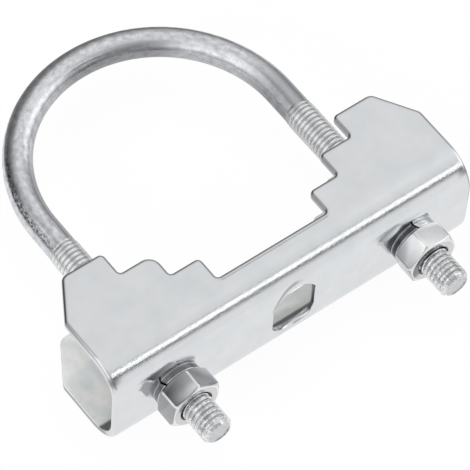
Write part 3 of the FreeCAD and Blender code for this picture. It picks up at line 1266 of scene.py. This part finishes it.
cloth = tree.nodes["Principled BSDF"]
cloth.inputs["Base Color"].default_value = (0.9, 0.9, 0.9, 1)
cloth.inputs["Roughness"].default_value = 0.9
cloth.inputs["Specular IOR Level"].default_value = 0.0
seen = tree.nodes.new("ShaderNodeLightPath").outputs
glow = tree.nodes.new("ShaderNodeEmission")
feed(tree, maths(tree, "MAXIMUM", seen["Is Camera Ray"], mirrored), glow.inputs["Strength"])
asked = maths(tree, "MAXIMUM", seen["Is Camera Ray"], seen["Is Glossy Ray"])
both = tree.nodes.new("ShaderNodeMixShader")
feed(tree, maths(tree, "MULTIPLY", asked, glow_share), both.inputs["Fac"])
feed(tree, cloth.outputs["BSDF"], both.inputs[1])
feed(tree, glow.outputs["Emission"], both.inputs[2])
feed(tree, both.outputs["Shader"], tree.nodes["Material Output"].inputs["Surface"])
table_mesh.materials.append(white)
print("table material:", white.name, "with", len(tree.nodes), "nodes")

# %% [markdown]
# ## The tent
# Polished metal shows mostly what stands around it, so the world is drawn as a light tent of pale cloth.
# Lamps alone would leave the metal black between their spots. The tent has three bands of wall, low, middle
# and high, and a roof. Each band is a ramp of grey levels by compass direction: 0 in front, 90 on the
# right, 180 behind.

# %% Tent walls
world = bpy.data.worlds.new("light_tent")
bpy.context.scene.world = world
world.use_nodes = True
tent_tree = world.node_tree
towards = tent_tree.nodes.new("ShaderNodeSeparateXYZ")
feed(tent_tree, tent_tree.nodes.new("ShaderNodeTexCoord").outputs["Generated"], towards.inputs["Vector"])
look_x, look_y, look_z = [towards.outputs[axis] for axis in "XYZ"]
heading = maths(tent_tree, "ARCTAN2", look_x, maths(tent_tree, "MULTIPLY", look_y, -1.0))
compass = spread(tent_tree, heading, -math.pi, math.pi)


def greys(where, levels):
    """Grey levels along a socket from 0 to 1, given as pairs of place and level."""
    return ramp(tent_tree, where, [(place, (level, level, level)) for place, level in levels])


def all_round(levels):
    """Grey levels by compass direction in degrees."""
    return greys(compass, [((turn + 180) / 360, level) for turn, level in levels])


low_wall = all_round([
    (-180, 0.12), (-150, 0.12), (-132, 0.55), (-117, 0.8), (-95, 0.6), (-48, 0.6), (-25, 0.5), (0, 0.45),
    (21, 0.5), (42, 0.6), (63, 0.85), (84, 0.75), (108, 0.3), (145, 0.3), (160, 0.18), (180, 0.12),
])
middle_wall = all_round([
    (-180, 0.22), (-165, 0.18), (-148, 0.16), (-133, 0.55), (-118, 0.95), (-96, 1.1), (-72, 1.2), (-48, 1.1),
    (-25, 0.5), (0, 0.42), (18, 0.5), (40, 1.3), (88, 1.3), (105, 0.5), (130, 0.62), (150, 0.5), (165, 0.24),
    (180, 0.22),
])
high_wall = all_round([
    (-180, 0.62), (-155, 0.45), (-138, 0.5), (-120, 1.1), (-88, 1.0), (-53, 0.8), (-18, 0.6), (16, 0.6),
    (49, 0.8), (83, 0.95), (112, 0.85), (139, 0.8), (165, 0.78), (180, 0.62),
])
print("walls:", len(tent_tree.nodes), "nodes")

# %% [markdown]
# The bands blend into each other by height, which is the upward share of the direction. To the front right
# hangs a strip of its own: a dark gap, a long lamp and pale cloth above it. The saddle's upper fold mirrors
# that strip along its whole length, and so gets its white line with a dark one below.

# %% Tent
roof = (0.78, 0.78, 0.78, 1)
strip_start, strip_end = (8, 16), (36, 46)
strip = greys(look_z, [
    (0.0, 0.85), (0.30, 0.85), (0.42, 0.66), (0.49, 0.2), (0.56, 0.2), (0.59, 1.45), (0.69, 1.45),
    (0.72, 0.5), (0.745, 0.5), (0.78, 0.78), (0.82, 0.80), (1.0, 0.80),
])


def by_height(low, high):
    """Smooth step of the direction's upward share."""
    return spread(tent_tree, look_z, low, high, smooth=True)


def by_compass(low, high):
    """Smooth step of the compass direction in degrees."""
    return spread(tent_tree, compass, 0.5 + low / 360, 0.5 + high / 360, smooth=True)


tent = mixed(tent_tree, by_height(0.08, 0.45), low_wall, middle_wall)
tent = mixed(tent_tree, by_height(0.5, 0.78), tent, high_wall)
tent = mixed(tent_tree, by_height(0.86, 0.97), tent, roof)
before_end = maths(tent_tree, "SUBTRACT", 1.0, by_compass(*strip_end))
in_strip = maths(tent_tree, "MULTIPLY", by_compass(*strip_start), before_end)
tent = mixed(tent_tree, in_strip, tent, strip)
feed(tent_tree, tent, tent_tree.nodes["Background"].inputs["Color"])
print("tent:", len(tent_tree.nodes), "nodes")

# %% [markdown]
# ## Lamps
# Two soft boxes give the shadow on the table its direction: a weak one high above and a small one on the
# left. The metal mirrors the tent and not the lamps, because a lamp's square would show as a hard white
# patch.


# %% Lamps
def soft_box(name, place, size, energy):
    """A square lamp at a place in metres that looks at the clamp."""
    data = bpy.data.lights.new(name, "AREA")
    data.size = size
    data.energy = energy
    lamp = bpy.data.objects.new(name, data)
    lamp.location = place
    lamp.rotation_euler = (-lamp.location).to_track_quat("-Z", "Y").to_euler()
    lamp.visible_glossy = False
    bpy.context.scene.collection.objects.link(lamp)
    print(name, "at", [round(v, 2) for v in lamp.location])


soft_box("top_box", (0.1, 0.3, 1.1), 0.8, 3.5)
soft_box("left_box", (-0.9, -0.1, 0.4), 0.5, 5.0)

# %% [markdown]
# ## Camera
# The camera was fitted to the photograph: it looks down at 56 degrees from the left, far away through a
# long lens, and it is rolled a little. Three axes, ahead, right and up, are worked out from those angles
# and make its turn.

# %% Camera
camera_place = Vector((-348.66, -417.16, 807.17)) * mm
camera_azimuth = math.radians(-40.792)
camera_down = math.radians(55.984)
camera_roll = math.radians(-4.673)
focal_pixels = 4063.6
picture_pixels = 470

ahead_axis = Vector((
    -math.sin(camera_azimuth) * math.cos(camera_down),
    math.cos(camera_azimuth) * math.cos(camera_down),
    -math.sin(camera_down),
))
level_right = Vector((math.cos(camera_azimuth), math.sin(camera_azimuth), 0))
level_down = ahead_axis.cross(level_right)
right_axis = level_right * math.cos(camera_roll) + level_down * math.sin(camera_roll)
up_axis = right_axis.cross(ahead_axis)

lens = bpy.data.cameras.new("photo_lens")
lens.sensor_width = 36
lens.lens = focal_pixels * lens.sensor_width / picture_pixels
lens.clip_end = 20
camera = bpy.data.objects.new("photo_camera", lens)
turn = Matrix((right_axis, up_axis, -ahead_axis)).transposed()
camera.matrix_world = Matrix.Translation(camera_place) @ turn.to_4x4()
bpy.context.scene.collection.objects.link(camera)
bpy.context.scene.camera = camera
bpy.context.scene.view_settings.view_transform = "Standard"
print("lens", round(lens.lens, 1), "mm")
